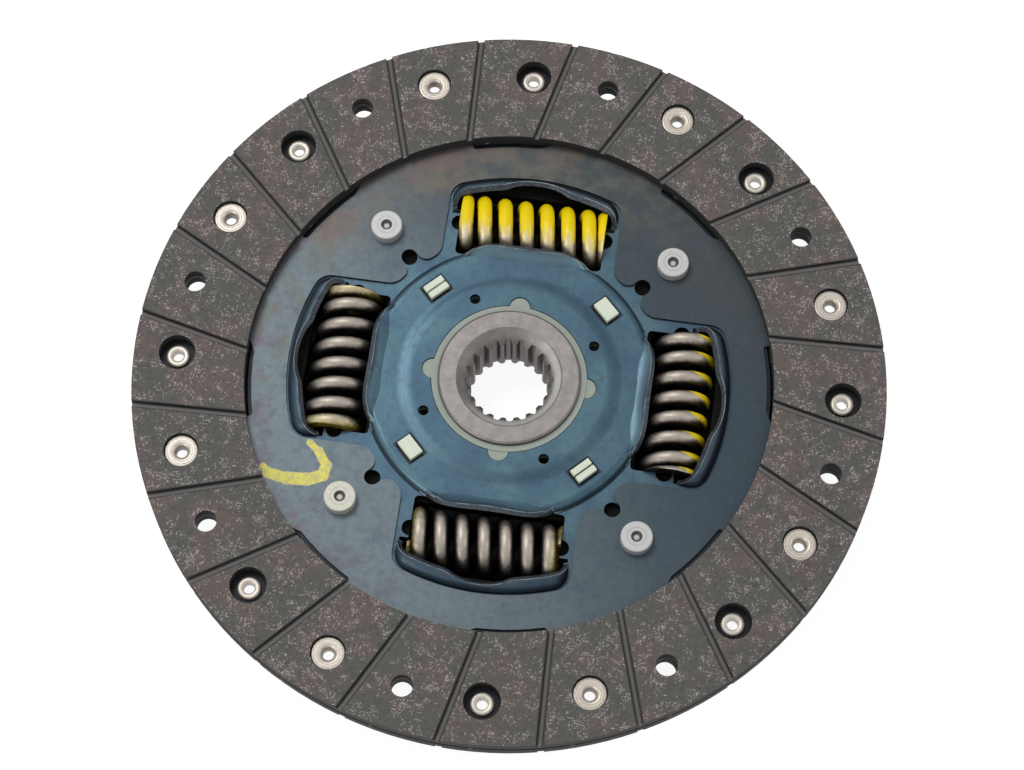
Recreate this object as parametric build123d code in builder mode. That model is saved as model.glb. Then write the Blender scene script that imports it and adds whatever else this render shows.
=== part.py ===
"""Clutch disc: a friction ring on a waved cushion plate, a torsional damper with four coil springs,
and a splined hub. Millimetres. The origin lies on the hub's axis, halfway through the friction ring,
and +Z points to the front, the side that carries the cushion plate. The spring windows lie on X and Y."""

from build123d import *

import os
from math import asin, atan2, cos, degrees, hypot, pi, radians, sin, sqrt, tan

# ---------------------------------------------------------------- driving dimensions
# friction ring
facing_outer_diameter = 212.0
facing_inner_diameter = 149.0
facing_thickness = 3.5
cushion_travel = 0.4  # how far the waved paddles hold the facings further apart than a flat sheet would
groove_count = 24
groove_width = 1.8
groove_depth = 1.2
groove_offset = 19.0  # how far the line of each groove passes from the axis
groove_angle = 2.2

# cushion plate
cushion_thickness = 0.8
paddle_count = 8
paddle_outer_diameter = 208.0
paddle_inner_diameter = 154.0
paddle_gap_angle = 4.3
notch_start_angle = -6.0
notch_ramp_angle = 7.0
notch_end_angle = 16.3
notch_root_diameter = 145.4
notch_corner = 1.0
cushion_window_diameter = 125.8
cushion_window_width = 49.8
cushion_window_corner = 5.0
lobe_diameter = 87.8
lobe_corner = 5.0
lobe_mouth = 3.0
locating_hole_diameter = 4.6
locating_circle_diameter = 95.3

# facing rivets: the angles repeat with every paddle
rivet_edge_distance = 10.15  # from the rim of the paddles to the circle of the rivets
rear_rivet_angle = 3.7
front_rivet_angle = 21.6
plain_hole_angle = 35.2
plain_hole_diameter = 6.1
access_hole_diameter = 10.3
rivet_head_diameter = 9.3
rivet_head_thickness = 1.1
rivet_shank_diameter = 5.2
rivet_bore_diameter = 3.2
rivet_roll_diameter = 6.8
rivet_roll_height = 1.0
rivet_seat_diameter = 9.8
rivet_web = 1.2  # facing left under each rivet head
hole_clearance = 0.1  # on the diameter of a hole over its shank

# retainer plates
window_count = 4
plate_thickness = 1.6
plate_diameter = 147.6
plate_gap = 5.6  # between the inner faces of the two plates
window_length = 42.2
window_inner_edge = 37.0  # from the axis to the straight inner edge of a window
window_corner = 1.2
window_relief_diameter = 4.6
window_relief_height = 46.6  # from the axis, along the window's own axis

# hoods pressed out of the plates over the outer side of each spring
hood_diameter = 124.8
hood_height = 3.85
hood_thickness = 1.3
hood_top_radius = 3.6
hood_corner = 5.2
hood_width = 49.4
hood_foot_width = 47.0
hood_foot_height = 49.5  # from the axis, along the window's own axis
hood_mouth_diameter = 119.0
hood_cutback = 2.4
hood_cutback_width = 18.8
hood_cutback_corner = 5.0

# lips pressed out of the plates over the inner side of each spring
lip_length = 36.0
lip_edge = 38.8  # from the axis to the free edge
lip_width = 4.0
lip_height = 2.2
lip_shoulder_height = 1.6
lip_end_height = 0.3
lip_thickness = 1.4

# dome in the middle of each retainer plate
dome_foot_diameter = 82.4
dome_shoulder_diameter = 80.4
dome_shoulder_height = 2.3
dome_crown_foot_diameter = 62.0
dome_crown_diameter = 57.2
dome_height = 2.95
dome_foot_bend = 0.3  # inner radii of the bends
dome_shoulder_bend = 0.5
dome_crown_bend_share = 0.85  # share of the crown's slope that its two bends take up
plate_bore_diameter = 44.2
dome_hole_diameter = 3.0
dome_hole_circle_diameter = 51.8
dome_hole_angle = 30.0
slot_circle_diameter = 69.0
slot_width = 7.2
slot_height = 5.4

# springs
spring_length = 42.0
spring_outer_diameter = 18.0
spring_circle_diameter = 96.2
wire_diameter = 4.1
spring_pitch = 6.05
spring_open_turns = 5.9
spring_closed_turns = 1.0
spring_closed_pitch = 4.15
spring_phases = (0.79, 0.71, 0.66, 0.02)  # turns from the middle of the wire to its crest

# stop rivets
stop_rivet_circle_diameter = 117.2
stop_rivet_head_diameter = 9.0
stop_rivet_head_height = 3.0
stop_rivet_edge_radius = 0.4
stop_rivet_neck_diameter = 6.4
stop_rivet_body_diameter = 9.4
stop_rivet_dimple_diameter = 3.2
stop_rivet_dimple_depth = 1.0

# hub and flange
hub_front_height = 4.0
hub_rear_height = 18.0
hub_diameter = 40.2
hub_collar_diameter = 45.0
hub_collar_teeth = 24
hub_chamfer = 0.6
spline_teeth = 20
spline_major_diameter = 25.0
spline_minor_diameter = 22.0
spline_countersink_diameter = 30.0
flange_diameter = 128.0
flange_thickness = 4.0
flange_window_inner_edge = 38.0
flange_window_outer_edge = 58.0
stop_angle = 8.0  # how far the hub turns either way before the stop rivets meet the flange
running_clearance = 0.05

# bushes and washers round the hub
bush_collar_diameter = 43.8
bush_collar_height = 2.5
bush_flange_diameter = 75.0
bush_ear_diameter = 5.8
bush_ear_circle_diameter = 43.5
bush_ear_height = 2.2
ear_clearance = 0.2
bush_tab_width = 6.2
bush_tab_length = 4.15
bush_tab_reach = 1.5
bush_tab_split = 0.6
bush_hole_diameter = 3.6
rear_bush_flange_diameter = 51.4
rear_bush_flange_thickness = 1.5
washer_thickness = 0.8
washer_inner_diameter = 52.0
washer_outer_diameter = 74.0
pressure_plate_thickness = 1.0
pressure_tab_width = 6.0
pressure_tab_reach = 1.2
diaphragm_thickness = 0.7
diaphragm_inner_diameter = 54.0
diaphragm_outer_diameter = 70.0
diaphragm_slots = 12
diaphragm_slot_length = 3.0
diaphragm_slot_width = 2.0
seat_gap = 0.02  # between the hub's pieces and the disc's pieces that rub on them

# ---------------------------------------------------------------- levels and planes
facing_inner_face = (cushion_thickness + cushion_travel) / 2
facing_outer_face = facing_inner_face + facing_thickness
rivet_seat_level = facing_inner_face + rivet_web
plate_front = -cushion_thickness / 2
plate_inner = plate_front - plate_thickness
damper_level = plate_inner - plate_gap / 2
flange_front = damper_level + flange_thickness / 2
flange_rear = damper_level - flange_thickness / 2
dome_shoulder_level = plate_front + dome_shoulder_height
dome_level = plate_front + dome_height
pitch_angle = 360 / paddle_count
rivet_circle_diameter = paddle_outer_diameter - 2 * rivet_edge_distance
diagonal = 180 / window_count
turned_over = Axis(
    (0, 0, 0),
    (cos(radians((front_rivet_angle + rear_rivet_angle) / 2)),
     sin(radians((front_rivet_angle + rear_rivet_angle) / 2)), 0),
)
damper_plane = Plane.XY.offset(damper_level)
quarter = 360 / window_count
os.makedirs("parts", exist_ok=True)


def polar(radius, angle):
    """The point at this radius and this angle in degrees."""
    return (radius * cos(radians(angle)), radius * sin(radians(angle)))


# ---------------------------------------------------------------- friction ring
# One moulding serves both sides: grooves on its face, and in turn an access hole, a stepped rivet seat
# and a plain hole in front of every paddle.
with BuildPart() as facing_front:
    with BuildSketch(Plane.XY.offset(facing_inner_face)):
        Circle(facing_outer_diameter / 2)
        Circle(facing_inner_diameter / 2, mode=Mode.SUBTRACT)
        with PolarLocations(rivet_circle_diameter / 2, paddle_count, rear_rivet_angle):
            Circle(access_hole_diameter / 2, mode=Mode.SUBTRACT)
        with PolarLocations(rivet_circle_diameter / 2, paddle_count, front_rivet_angle):
            Circle((rivet_shank_diameter + hole_clearance) / 2, mode=Mode.SUBTRACT)
        with PolarLocations(rivet_circle_diameter / 2, paddle_count, plain_hole_angle):
            Circle(plain_hole_diameter / 2, mode=Mode.SUBTRACT)
    extrude(amount=facing_thickness)
    with BuildSketch(Plane.XY.offset(rivet_seat_level)):
        with PolarLocations(rivet_circle_diameter / 2, paddle_count, front_rivet_angle):
            Circle(rivet_seat_diameter / 2)
    extrude(amount=facing_thickness, mode=Mode.SUBTRACT)
    with BuildSketch(Plane.XY.offset(facing_outer_face - groove_depth)):
        groove_start = sqrt((facing_inner_diameter / 2) ** 2 - groove_offset**2) - groove_width
        groove_end = sqrt((facing_outer_diameter / 2) ** 2 - groove_offset**2) + groove_width
        with PolarLocations(0, groove_count, groove_angle):
            with Locations(((groove_start + groove_end) / 2, groove_offset)):
                Rectangle(groove_end - groove_start, groove_width)
    extrude(amount=2 * groove_depth, mode=Mode.SUBTRACT)
facing_front.part.label = "facing_front"
export_step(facing_front.part, "parts/facing_front.step")

with BuildPart() as facing_rear:
    add(facing_front.part.rotate(turned_over, 180))
facing_rear.part.label = "facing_rear"
export_step(facing_rear.part, "parts/facing_rear.step")

# ---------------------------------------------------------------- cushion plate
# One paddle, bent so that it touches the front facing at its front rivet and the rear one at its rear rivet.
paddle_start = notch_end_angle - pitch_angle
paddle_end = notch_end_angle - paddle_gap_angle
paddle_middle = (paddle_start + paddle_end) / 2
front_pad = rivet_circle_diameter / 2 * sin(radians(front_rivet_angle - pitch_angle - paddle_middle))
rear_pad = rivet_circle_diameter / 2 * sin(radians(rear_rivet_angle - paddle_middle))
across_paddle = Plane(
    origin=(*polar(paddle_inner_diameter / 2 * 0.9, paddle_middle), 0),
    x_dir=(*polar(1, paddle_middle + 90), 0),
    z_dir=(*polar(1, paddle_middle), 0),
)

with BuildPart() as paddle:
    with BuildSketch(across_paddle):
        with BuildLine():
            rise = cushion_travel / 2
            half = cushion_thickness / 2
            bent = [
                (-paddle_outer_diameter / 4, rise),
                (front_pad + rivet_head_diameter, rise),
                (rear_pad - rivet_head_diameter, -rise),
                (paddle_outer_diameter / 4, -rise),
            ]
            Polyline(
                *[(x, y - half) for x, y in bent],
                *[(x, y + half) for x, y in reversed(bent)],
                close=True,
            )
        make_face()
    extrude(amount=paddle_outer_diameter / 2)
    with BuildSketch(Plane.XY.offset(-facing_thickness)):
        with BuildLine():
            inner_start = polar(paddle_inner_diameter / 2 - cushion_thickness, paddle_start)
            inner_end = polar(paddle_inner_diameter / 2 - cushion_thickness, notch_start_angle)
            wing_start = polar(paddle_inner_diameter / 2, notch_start_angle)
            wing_end = polar(paddle_inner_diameter / 2, paddle_end)
            outer_end = polar(paddle_outer_diameter / 2, paddle_end)
            outer_start = polar(paddle_outer_diameter / 2, paddle_start)
            RadiusArc(inner_start, inner_end, -(paddle_inner_diameter / 2 - cushion_thickness))
            Line(inner_end, wing_start)
            RadiusArc(wing_start, wing_end, -paddle_inner_diameter / 2)
            Line(wing_end, outer_end)
            RadiusArc(outer_end, outer_start, paddle_outer_diameter / 2)
            Line(outer_start, inner_start)
        make_face()
        with Locations(
            polar(rivet_circle_diameter / 2, rear_rivet_angle),
            polar(rivet_circle_diameter / 2, front_rivet_angle - pitch_angle),
        ):
            Circle((rivet_shank_diameter + hole_clearance) / 2, mode=Mode.SUBTRACT)
        with Locations(polar(rivet_circle_diameter / 2, plain_hole_angle - pitch_angle)):
            Circle(plain_hole_diameter / 2, mode=Mode.SUBTRACT)
    extrude(amount=2 * facing_thickness, mode=Mode.INTERSECT)

with BuildPart() as cushion_plate:
    with BuildSketch(Plane.XY.offset(plate_front)):
        Circle(paddle_inner_diameter / 2)
        # rim notches that set the wings of the paddles free
        with BuildSketch(mode=Mode.PRIVATE) as notch:
            with BuildLine():
                ramp_start = polar(paddle_inner_diameter / 2 + notch_corner, notch_start_angle)
                root_start = polar(notch_root_diameter / 2, notch_start_angle + notch_ramp_angle)
                root_end = polar(notch_root_diameter / 2, notch_end_angle)
                ramp_end = polar(paddle_inner_diameter / 2 + notch_corner, notch_end_angle)
                Line(ramp_start, root_start)
                RadiusArc(root_start, root_end, -notch_root_diameter / 2)
                Line(root_end, ramp_end)
                Line(ramp_end, ramp_start)
            make_face()
            fillet(notch.vertices().sort_by_distance((*root_end, 0))[0], notch_corner)
        with PolarLocations(0, paddle_count):
            add(notch.sketch, mode=Mode.SUBTRACT)
        # cross-shaped opening for the hoods, with lobes left on the diagonals
        with BuildSketch(mode=Mode.PRIVATE) as opening:
            Rectangle(cushion_window_diameter, cushion_window_width)
            Rectangle(cushion_window_width, cushion_window_diameter)
            Circle(cushion_window_diameter / 2, mode=Mode.INTERSECT)
            arm_corners = opening.vertices().group_by(lambda v: round(hypot(v.X, v.Y)))[-1]
            fillet(arm_corners, cushion_window_corner)
            Circle(lobe_diameter / 2)
            lobe_corners = opening.vertices().filter_by(
                lambda v: abs(hypot(v.X, v.Y) - lobe_diameter / 2) < 0.01
            )
            fillet(lobe_corners, lobe_corner)
            with PolarLocations(lobe_diameter / 2, window_count, diagonal):
                Rectangle(locating_circle_diameter - lobe_diameter, locating_hole_diameter)
            mouth_corners = opening.vertices().filter_by(
                lambda v: abs(hypot(v.X, v.Y) - lobe_diameter / 2) < 0.01
                and abs(abs(v.X) - abs(v.Y)) < locating_hole_diameter
            )
            fillet(mouth_corners, lobe_mouth)
        add(opening.sketch, mode=Mode.SUBTRACT)
        with PolarLocations(locating_circle_diameter / 2, window_count, diagonal):
            Circle(locating_hole_diameter / 2, mode=Mode.SUBTRACT)
        with PolarLocations(stop_rivet_circle_diameter / 2, window_count, diagonal):
            Circle((stop_rivet_neck_diameter + hole_clearance) / 2, mode=Mode.SUBTRACT)
    extrude(amount=cushion_thickness)
    with PolarLocations(0, paddle_count):
        add(paddle.part)
cushion_plate.part.label = "cushion_plate"
export_step(cushion_plate.part, "parts/cushion_plate.step")

# ---------------------------------------------------------------- facing rivets
# Tubular rivets: a wide head sunk in the facing, a bored shank, and an end rolled over the paddle.
paddle_back = facing_inner_face - cushion_thickness
with BuildPart() as facing_rivet:
    with BuildSketch(Plane.XZ):
        with BuildLine():
            Polyline(
                (rivet_bore_diameter / 2, rivet_seat_level + rivet_head_thickness),
                (rivet_bore_diameter / 2, paddle_back - rivet_roll_height),
                (rivet_roll_diameter / 2, paddle_back - rivet_roll_height),
                (rivet_roll_diameter / 2, paddle_back),
                (rivet_shank_diameter / 2, paddle_back),
                (rivet_shank_diameter / 2, rivet_seat_level),
                (rivet_head_diameter / 2, rivet_seat_level),
                (rivet_head_diameter / 2, rivet_seat_level + rivet_head_thickness),
                close=True,
            )
        make_face()
    revolve(axis=Axis.Z)
    roll_edges = facing_rivet.edges().filter_by(GeomType.CIRCLE).group_by(Axis.Z)[0]
    fillet(roll_edges, rivet_roll_height * 0.4)

with BuildPart() as facing_rivets_front:
    with PolarLocations(rivet_circle_diameter / 2, paddle_count, front_rivet_angle):
        add(facing_rivet.part)
facing_rivets_front.part.label = "facing_rivets_front"
export_step(facing_rivets_front.part, "parts/facing_rivets_front.step")

with BuildPart() as facing_rivets_rear:
    add(facing_rivets_front.part.rotate(turned_over, 180))
facing_rivets_rear.part.label = "facing_rivets_rear"
export_step(facing_rivets_rear.part, "parts/facing_rivets_rear.step")

# ---------------------------------------------------------------- retainer plates
# Outline of a hood in plan: the arc of its outer wall between two sides that close in towards its foot.
with BuildSketch() as hood_outline:
    with BuildLine():
        corner_height = sqrt((hood_diameter / 2) ** 2 - (hood_width / 2) ** 2)
        right_corner = (hood_width / 2, corner_height)
        left_corner = (-hood_width / 2, corner_height)
        Polyline(
            right_corner,
            (hood_foot_width / 2, hood_foot_height),
            (-hood_foot_width / 2, hood_foot_height),
            left_corner,
        )
        RadiusArc(left_corner, right_corner, hood_diameter / 2)
    make_face()
    fillet(hood_outline.vertices().group_by(Axis.Y)[-1], hood_corner)

# A hood: a cap with a rounded top, hollowed to sheet thickness. Its mouth is a cone about the disc's
# axis with a bay in the middle, so the free edge falls away towards both ends.
with BuildPart() as hood:
    with BuildSketch(Plane.XY.offset(plate_inner)):
        add(hood_outline.sketch)
    extrude(amount=plate_thickness + hood_height)
    fillet(hood.faces().sort_by(Axis.Z)[-1].edges(), hood_top_radius)
    offset(amount=-hood_thickness, openings=hood.faces().sort_by(Axis.Z)[0])
    with BuildSketch(Plane.XY.offset(plate_front + hood_height)) as mouth:
        with BuildLine():
            bay_height = sqrt((hood_mouth_diameter / 2) ** 2 - (hood_cutback_width / 2) ** 2)
            left_end = (-hood_cutback_width / 2, bay_height)
            right_end = (hood_cutback_width / 2, bay_height)
            ThreePointArc(left_end, (0, hood_mouth_diameter / 2 + hood_cutback), right_end)
            RadiusArc(right_end, (hood_mouth_diameter / 2, 0), hood_mouth_diameter / 2)
            Line((hood_mouth_diameter / 2, 0), (-hood_mouth_diameter / 2, 0))
            RadiusArc((-hood_mouth_diameter / 2, 0), left_end, hood_mouth_diameter / 2)
        make_face()
        fillet(mouth.vertices().group_by(Axis.Y)[-1], hood_cutback_corner)
    extrude(amount=-hood_height - plate_thickness, taper=45, mode=Mode.SUBTRACT)
    with BuildSketch(Plane.XY.offset(plate_inner)):
        with Locations((0, hood_foot_height)):
            Rectangle(window_length, 2 * hood_top_radius)
    extrude(amount=plate_thickness + hood_height, mode=Mode.SUBTRACT)


lip_root_level = dome_shoulder_level - lip_thickness * 0.1


def lip_section(across, edge, edge_level):
    """A slice of a spring lip at this distance from the window's axis: sheet that curves away from the dome."""
    root = lip_edge - lip_width
    lean = 2 * atan2(edge_level - lip_root_level, edge - root)
    under_edge = (edge + lip_thickness * sin(lean), edge_level - lip_thickness * cos(lean))
    with BuildSketch(Plane.YZ.offset(across)) as section:
        with BuildLine():
            TangentArc((root, lip_root_level), (edge, edge_level), tangent=(1, 0))
            Line((edge, edge_level), under_edge)
            TangentArc((root, lip_root_level - lip_thickness), under_edge, tangent=(1, 0))
            Line((root, lip_root_level - lip_thickness), (root, lip_root_level))
        make_face()
    return section.sketch


# A lip over the inner side of a spring: bent up in the middle, running out into the dome at its ends.
with BuildPart() as lip:
    add(lip_section(-lip_length / 2, window_inner_edge, plate_front + lip_end_height))
    add(lip_section(-lip_length / 3, lip_edge, dome_shoulder_level + lip_shoulder_height))
    add(lip_section(0, lip_edge, dome_shoulder_level + lip_height))
    add(lip_section(lip_length / 3, lip_edge, dome_shoulder_level + lip_shoulder_height))
    add(lip_section(lip_length / 2, window_inner_edge, plate_front + lip_end_height))
    loft()

# The plate: a revolved pressing with a stepped dome, pierced and given its hoods and lips.
foot_slope = atan2(dome_shoulder_height, (dome_foot_diameter - dome_shoulder_diameter) / 2)
crown_slope = atan2(dome_height - dome_shoulder_height, (dome_crown_foot_diameter - dome_crown_diameter) / 2)
foot_shift = plate_thickness * tan(foot_slope / 2)
crown_shift = plate_thickness * tan(crown_slope / 2)
crown_slope_length = hypot(
    dome_height - dome_shoulder_height, (dome_crown_foot_diameter - dome_crown_diameter) / 2
)
crown_bend_reach = crown_slope_length * dome_crown_bend_share / 2
crown_bend = crown_bend_reach / tan(crown_slope / 2) - plate_thickness

with BuildPart() as front_retainer:
    with BuildSketch(Plane.XZ) as retainer_profile:
        with BuildLine():
            Polyline(
                (plate_diameter / 2, plate_front),
                (dome_foot_diameter / 2, plate_front),
                (dome_shoulder_diameter / 2, dome_shoulder_level),
                (dome_crown_foot_diameter / 2, dome_shoulder_level),
                (dome_crown_diameter / 2, dome_level),
                (plate_bore_diameter / 2, dome_level),
                (plate_bore_diameter / 2, dome_level - plate_thickness),
                (dome_crown_diameter / 2 - crown_shift, dome_level - plate_thickness),
                (dome_crown_foot_diameter / 2 - crown_shift, dome_shoulder_level - plate_thickness),
                (dome_shoulder_diameter / 2 - foot_shift, dome_shoulder_level - plate_thickness),
                (dome_foot_diameter / 2 - foot_shift, plate_inner),
                (plate_diameter / 2, plate_inner),
                close=True,
            )
        make_face()
        for radius, level, bend in (
            (dome_foot_diameter / 2, plate_front, dome_foot_bend),
            (dome_foot_diameter / 2 - foot_shift, plate_inner, dome_foot_bend + plate_thickness),
            (dome_shoulder_diameter / 2, dome_shoulder_level, dome_shoulder_bend + plate_thickness),
            (
                dome_shoulder_diameter / 2 - foot_shift,
                dome_shoulder_level - plate_thickness,
                dome_shoulder_bend,
            ),
            (dome_crown_foot_diameter / 2, dome_shoulder_level, crown_bend),
            (
                dome_crown_foot_diameter / 2 - crown_shift,
                dome_shoulder_level - plate_thickness,
                crown_bend + plate_thickness,
            ),
            (dome_crown_diameter / 2, dome_level, crown_bend + plate_thickness),
            (dome_crown_diameter / 2 - crown_shift, dome_level - plate_thickness, crown_bend),
        ):
            fillet(retainer_profile.vertices().sort_by_distance((radius, level, 0))[0], bend)
    revolve(axis=Axis.Z)
    with BuildSketch(Plane.XY.offset(plate_inner)):
        with BuildSketch(mode=Mode.PRIVATE) as window:
            with Locations((0, (window_inner_edge + hood_foot_height + hood_corner) / 2)):
                Rectangle(window_length, hood_foot_height + hood_corner - window_inner_edge)
            fillet(window.vertices().group_by(Axis.Y)[0], window_corner)
            add(hood_outline.sketch)
            with Locations(
                (window_length / 2, window_relief_height), (-window_length / 2, window_relief_height)
            ):
                Circle(window_relief_diameter / 2)
        with PolarLocations(0, window_count):
            add(window.sketch)
        with PolarLocations(dome_hole_circle_diameter / 2, window_count, dome_hole_angle):
            Circle(dome_hole_diameter / 2)
        with PolarLocations(slot_circle_diameter / 2, window_count, diagonal):
            RectangleRounded(slot_height, slot_width, window_corner)
        with PolarLocations(bush_ear_circle_diameter / 2, window_count):
            Circle(bush_ear_diameter / 2 + ear_clearance)
        with PolarLocations(locating_circle_diameter / 2, window_count, diagonal):
            Circle(locating_hole_diameter / 2)
        with PolarLocations(stop_rivet_circle_diameter / 2, window_count, diagonal):
            Circle((stop_rivet_neck_diameter + hole_clearance) / 2)
    extrude(amount=dome_level - plate_inner, mode=Mode.SUBTRACT)
    with PolarLocations(0, window_count):
        add(hood.part)
        add(lip.part)
front_retainer.part.label = "front_retainer"
export_step(front_retainer.part, "parts/front_retainer.step")

with BuildPart() as rear_retainer:
    mirror(front_retainer.part, about=damper_plane)
rear_retainer.part.label = "rear_retainer"
export_step(rear_retainer.part, "parts/rear_retainer.step")

# ---------------------------------------------------------------- stop rivets
# A spacer between the plates with a neck and a dimpled head at each end; the front head clamps the
# cushion plate as well.
with BuildPart() as stop_rivet:
    rear_face = plate_inner - plate_gap - plate_thickness
    with BuildSketch(Plane.XY.offset(rear_face)):
        Circle(stop_rivet_neck_diameter / 2)
    extrude(amount=-plate_front - rear_face)
    with BuildSketch(Plane.XY.offset(plate_inner - plate_gap)):
        Circle(stop_rivet_body_diameter / 2)
    extrude(amount=plate_gap)
    for level, direction in ((-plate_front, 1), (rear_face, -1)):
        with BuildSketch(Plane.XY.offset(level)):
            Circle(stop_rivet_head_diameter / 2)
        extrude(amount=direction * stop_rivet_head_height)
        outer_face = stop_rivet.faces().sort_by(Axis.Z)[-1 if direction > 0 else 0]
        fillet(outer_face.edges(), stop_rivet_edge_radius)
        with BuildSketch(Plane.XY.offset(level + direction * stop_rivet_head_height)):
            Circle(stop_rivet_dimple_diameter / 2)
        extrude(amount=-direction * stop_rivet_dimple_depth, taper=30, mode=Mode.SUBTRACT)

with BuildPart() as stop_rivets:
    with PolarLocations(stop_rivet_circle_diameter / 2, window_count, diagonal):
        add(stop_rivet.part)
stop_rivets.part.label = "stop_rivets"
export_step(stop_rivets.part, "parts/stop_rivets.step")

# ---------------------------------------------------------------- damper springs
# Coil springs with closed, ground ends, each lying along its window.
coil_radius = (spring_outer_diameter - wire_diameter) / 2
wire_turns = spring_open_turns + 2 * spring_closed_turns


def coil_advance(turn):
    """How far along the spring the wire has come, this many turns from its middle."""
    open_part = max(-spring_open_turns / 2, min(turn, spring_open_turns / 2))
    return open_part * spring_pitch + (turn - open_part) * spring_closed_pitch


for number in range(window_count):
    wire_points = []
    for step in range(round(wire_turns * 10) + 1):
        turn = step / 10 - wire_turns / 2
        swing = 2 * pi * (turn + spring_phases[number])
        outward = spring_circle_diameter / 2 + coil_radius * sin(swing)
        wire_points.append((outward, coil_advance(turn), damper_level + coil_radius * cos(swing)))
    with BuildPart() as coil:
        with BuildLine() as wire:
            Spline(*wire_points)
        with BuildSketch(Plane(origin=wire.line @ 0, z_dir=wire.line % 0)):
            Circle(wire_diameter / 2)
        sweep(path=wire.line, is_frenet=True)
        with Locations((spring_circle_diameter / 2, 0, damper_level)):
            Box(2 * spring_outer_diameter, spring_length, 2 * spring_outer_diameter, mode=Mode.INTERSECT)
    with BuildPart() as damper_spring:
        add(coil.part.rotate(Axis.Z, number * quarter))
    damper_spring.part.label = f"damper_spring_{number + 1}"
    export_step(damper_spring.part, f"parts/damper_spring_{number + 1}.step")


# ---------------------------------------------------------------- hub and flange
def toothed_outline(teeth, root_diameter, tip_diameter, start_angle=0.0, clearance=0.0):
    """A disc with straight-flanked teeth standing on it; as a cut-out it is the bore that such a disc fits."""
    tooth = pi * (root_diameter + tip_diameter) / 4 / teeth / 2
    slope = (tip_diameter - root_diameter) / 4 * tan(radians(20))
    with BuildSketch() as outline:
        Circle(root_diameter / 2 + clearance)
        with PolarLocations(0, teeth, start_angle):
            Polygon(
                (root_diameter / 2 - 1, -tooth - slope - clearance),
                (root_diameter / 2, -tooth - slope - clearance),
                (tip_diameter / 2 + clearance, -tooth + slope - clearance),
                (tip_diameter / 2 + clearance, tooth - slope + clearance),
                (root_diameter / 2, tooth + slope + clearance),
                (root_diameter / 2 - 1, tooth + slope + clearance),
                align=None,
            )
    return outline.sketch


with BuildPart() as hub:
    with BuildSketch(Plane.XY.offset(-hub_rear_height)):
        Circle(hub_diameter / 2)
    extrude(amount=hub_rear_height + hub_front_height)
    chamfer(hub.edges().filter_by(GeomType.CIRCLE), hub_chamfer)
    with BuildSketch(Plane.XY.offset(flange_rear)):
        add(toothed_outline(hub_collar_teeth, hub_diameter, hub_collar_diameter))
    extrude(amount=flange_thickness)
    with BuildSketch(Plane.XY.offset(-hub_rear_height)):
        add(
            toothed_outline(
                spline_teeth, spline_minor_diameter, spline_major_diameter, 180 / spline_teeth
            )
        )
    extrude(amount=hub_rear_height + hub_front_height, mode=Mode.SUBTRACT)
    countersink_depth = (spline_countersink_diameter - spline_minor_diameter) / 2 + 1
    for face_level, direction in ((hub_front_height, -1), (-hub_rear_height, 1)):
        with BuildSketch(Plane.XY.offset(face_level)):
            Circle(spline_countersink_diameter / 2)
        extrude(amount=direction * countersink_depth, taper=45, mode=Mode.SUBTRACT)
hub.part.label = "hub"
export_step(hub.part, "parts/hub.step")

with BuildPart() as hub_flange:
    with BuildSketch(Plane.XY.offset(flange_rear)):
        Circle(flange_diameter / 2)
        add(
            toothed_outline(hub_collar_teeth, hub_diameter, hub_collar_diameter, clearance=seat_gap),
            mode=Mode.SUBTRACT,
        )
        flange_window_height = flange_window_outer_edge - flange_window_inner_edge
        flange_window_middle = (flange_window_outer_edge + flange_window_inner_edge) / 2
        with PolarLocations(flange_window_middle, window_count):
            RectangleRounded(flange_window_height, window_length, window_corner, mode=Mode.SUBTRACT)
        # open notches in which the stop rivets travel
        notch_radius = (stop_rivet_body_diameter + hole_clearance) / 2
        stop_circle = stop_rivet_circle_diameter / 2
        half_notch = stop_angle + degrees(asin(notch_radius / stop_circle))
        with PolarLocations(0, window_count, diagonal):
            with BuildSketch(mode=Mode.PRIVATE) as stop_notch:
                with Locations(polar(stop_circle, stop_angle), polar(stop_circle, -stop_angle)):
                    Circle(notch_radius)
                Polygon(
                    polar(stop_circle - notch_radius, -stop_angle),
                    polar(stop_circle, -half_notch),
                    polar(flange_diameter / 2 + flange_thickness, -half_notch),
                    polar(flange_diameter / 2 + flange_thickness, half_notch),
                    polar(stop_circle, half_notch),
                    polar(stop_circle - notch_radius, stop_angle),
                    align=None,
                )
                Circle(stop_circle - notch_radius, mode=Mode.SUBTRACT)
            add(stop_notch.sketch, mode=Mode.SUBTRACT)
    extrude(amount=flange_thickness)
hub_flange.part.label = "hub_flange"
export_step(hub_flange.part, "parts/hub_flange.step")

# ---------------------------------------------------------------- front bush and washer
bush_bore = hub_diameter / 2 + running_clearance
front_washer_level = flange_front + seat_gap
front_bush_level = front_washer_level + washer_thickness
crown_underside = dome_level - plate_thickness
shoulder_underside = dome_shoulder_level - plate_thickness
crown_seat_radius = dome_crown_diameter / 2 - crown_shift - crown_bend_reach

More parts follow.
